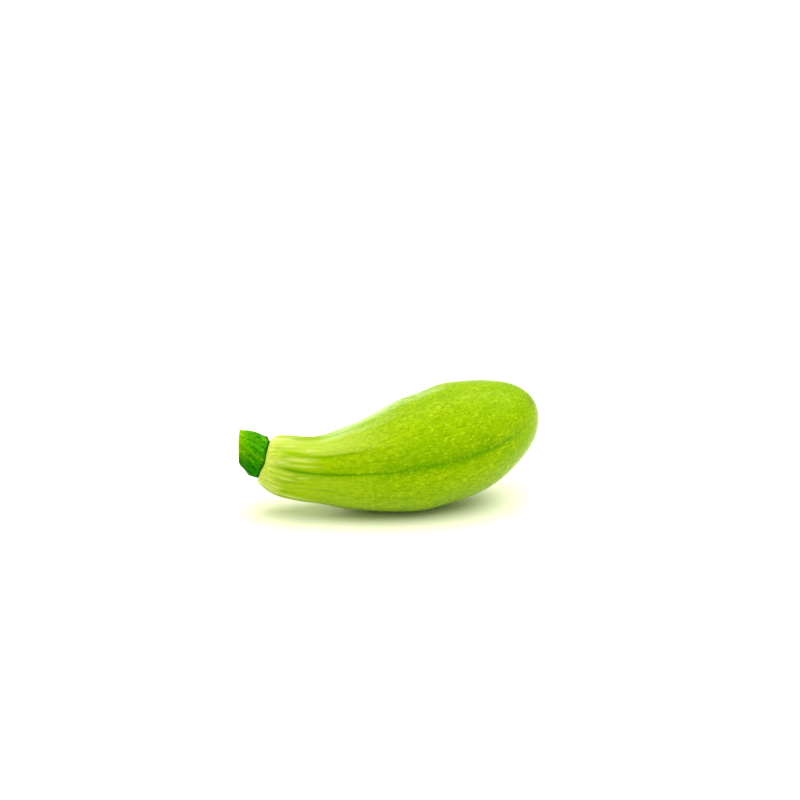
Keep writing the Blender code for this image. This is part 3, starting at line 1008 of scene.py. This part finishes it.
# Dried remains of the blossom, a small ragged rosette in the scar
blossomForm = {
    "petals": 9,
    "petalDepth": 0.16,
    "radius": 0.0024,
    "height": 0.0007,
    "middleHeight": 0.35,
    "fall": 1.5,
    "sunk": 0.0006,
    "baseDepth": 0.0011,
    "baseWidth": 0.92,
    "innermost": 0.08,
    "ragged": (0.07, 51, (5, 23), 4.0, 12),
    "crumpled": (0.00012, 52, (6, 18), 0.8, 14),
    "segments": 96,
    "rings": 16,
    "brown": (0.10, 0.07, 0.02, 1.0),
    "straw": (0.30, 0.22, 0.08, 1.0),
    "blot": (1800.0, 3.0),
    "strawMask": (0.35, 0.65),
    "glossMask": (0.3, 0.7),
    "roughness": (0.65, 0.85),
    "bump": (0.6, 0.0001),
}


def makeBlossomRemains(shift):
    form = blossomForm
    edge = fruitRings()[-1]
    base, along, inward = (part[0] for part in middleLine(np.array([edge])))
    angles = evenAngles(form["segments"])[None, :]
    share = np.linspace(1.0, form["innermost"], form["rings"])[:, None]
    ragged = form["petalDepth"] * np.cos(form["petals"] * angles)
    ragged = ragged + wavesRound(share, angles, *form["ragged"])
    r = form["radius"] * share * (1.0 + ragged * share)
    rise = form["height"] * blend((form["middleHeight"], 1.0), share ** form["fall"])
    rise = rise + wavesRound(share, angles, *form["crumpled"]) * share
    ways = np.cos(angles)[..., None] * inward + np.sin(angles)[..., None] * sideWay
    upper = base + r[..., None] * ways + (rise - form["sunk"])[..., None] * along
    lowest = base - form["baseDepth"] * along
    lower = lowest + form["baseWidth"] * r[..., None] * ways
    middle = base + (form["height"] * form["middleHeight"] - form["sunk"]) * along
    rings = np.concatenate([lower[::-1], upper])
    piece = gridObject("blossomRemains", toRow(rings, shift), toRow(lowest, shift), toRow(middle, shift))
    faceOutwards(piece)
    return piece


def makeDryMaterial():
    look = blossomForm
    material, tree, shader = newMaterial("driedBlossom")
    place = addNode(tree, "ShaderNodeTexCoord").outputs["Object"]
    blot = noise(tree, place, *look["blot"])
    colour = mixColour(tree, rescale(tree, blot, *look["strawMask"]), look["brown"], look["straw"])
    gloss = rescale(tree, blot, *look["glossMask"], *look["roughness"])
    finishShader(tree, shader, colour, gloss, blot, *look["bump"])
    return material


# Floor, light and camera
studio = {
    "floorSize": 40.0,
    "floorDrop": 0.0001,
    "floorColour": (0.95, 0.925, 0.82, 1.0),
    "floorMottle": (0.955, 0.925, 0.84, 1.0),
    "floorPattern": (30.0, 3.0),
    "floorRoughness": 0.9,
    "floorSpecular": 0.1,
    "sunWay": (0.17, -0.12, 1.0),
    "sunSpread": 80.0,
    "sunPower": 3.6,
    "sunColour": (1.0, 0.975, 0.97),
    "world": 0.70,
    "worldColour": (0.88, 1.0, 0.62, 1.0),
    "panelPlace": (-0.85, 3.2, 1.25),
    "panelSize": (2.3, 2.5),
    "panelPower": 50.0,
    "target": (0.0071, 0.0128, 0.0220),
    "cameraTurn": 13.4,
    "cameraHeight": 22.0,
    "cameraDistance": 1.0,
    "sensorWidth": 36.0,
    "frameWidth": 0.400,
    "frameRows": 800.0,
    "aimRow": 455.0,
}


def makeFloor():
    mesh = bmesh.new()
    bmesh.ops.create_grid(mesh, x_segments=8, y_segments=8, size=studio["floorSize"] / 2)
    data = bpy.data.meshes.new("paleFloor")
    mesh.to_mesh(data)
    mesh.free()
    floor = bpy.data.objects.new("paleFloor", data)
    floor.location.z = -studio["floorDrop"]
    bpy.context.scene.collection.objects.link(floor)
    material, tree, shader = newMaterial("paleFloor")
    place = addNode(tree, "ShaderNodeTexCoord").outputs["Object"]
    paper = noise(tree, place, *studio["floorPattern"])
    colour = mixColour(tree, paper, studio["floorColour"], studio["floorMottle"])
    tree.links.new(colour, shader.inputs["Base Color"])
    shader.inputs["Roughness"].default_value = studio["floorRoughness"]
    shader.inputs["Specular IOR Level"].default_value = studio["floorSpecular"]
    data.materials.append(material)
    return floor


def makeLights():
    lamp = bpy.data.lights.new("overhead", "SUN")
    lamp.energy = studio["sunPower"]
    lamp.color = studio["sunColour"]
    lamp.angle = math.radians(studio["sunSpread"])
    key = bpy.data.objects.new("overhead", lamp)
    key.rotation_euler = Vector(studio["sunWay"]).to_track_quat("Z", "Y").to_euler()
    bpy.context.scene.collection.objects.link(key)
    back = bpy.data.lights.new("backPanel", "AREA")
    back.shape = "RECTANGLE"
    back.size, back.size_y = studio["panelSize"]
    back.energy = studio["panelPower"]
    panel = bpy.data.objects.new("backPanel", back)
    panel.location = studio["panelPlace"]
    panel.rotation_euler = Vector(studio["panelPlace"]).to_track_quat("Z", "Y").to_euler()
    bpy.context.scene.collection.objects.link(panel)
    world = bpy.data.worlds.new("studioWorld")
    world.use_nodes = True
    background = world.node_tree.nodes["Background"]
    background.inputs["Color"].default_value = studio["worldColour"]
    background.inputs["Strength"].default_value = studio["world"]
    bpy.context.scene.world = world


def makeCamera():
    # the target shows in the middle column of a square picture, at aimRow of its frameRows rows
    turn, height = math.radians(studio["cameraTurn"]), math.radians(studio["cameraHeight"])
    level = math.cos(height)
    away = Vector((math.sin(turn) * level, math.cos(turn) * level, -math.sin(height)))
    perMetre = studio["frameWidth"] / studio["cameraDistance"]
    lens = bpy.data.cameras.new("camera")
    lens.sensor_width = studio["sensorWidth"]
    lens.lens = studio["sensorWidth"] / perMetre
    camera = bpy.data.objects.new("camera", lens)
    camera.location = Vector(studio["target"]) - away * studio["cameraDistance"]
    rowAngle = math.atan((studio["aimRow"] / studio["frameRows"] - 0.5) * perMetre)
    camera.rotation_euler = (math.pi / 2 - height + rowAngle, 0.0, -turn)
    bpy.context.scene.collection.objects.link(camera)
    bpy.context.scene.camera = camera


bpy.context.scene.view_settings.view_transform = "Standard"
makeCamera()
print("Courgette: camera placed")

fruitSkin, shift = makeFruit()
fruitSkin.data.materials.append(makeSkinMaterial())
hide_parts("fruit")
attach(fruitSkin, "root")
print("Courgette: fruit made,", len(fruitSkin.data.polygons), "faces")

stemStub = makeStem(shift)
stemStub.data.materials.append(makeStemMaterial())
stemStub.data.materials.append(makeCutMaterial())
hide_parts("stem")
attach(stemStub, "root")
print("Courgette: stem made,", len(stemStub.data.polygons), "faces")

blossomRemains = makeBlossomRemains(shift)
blossomRemains.data.materials.append(makeDryMaterial())
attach(blossomRemains, "root")
print("Courgette: blossom remains made")

makeFloor()
makeLights()
print("Courgette: floor and light set")
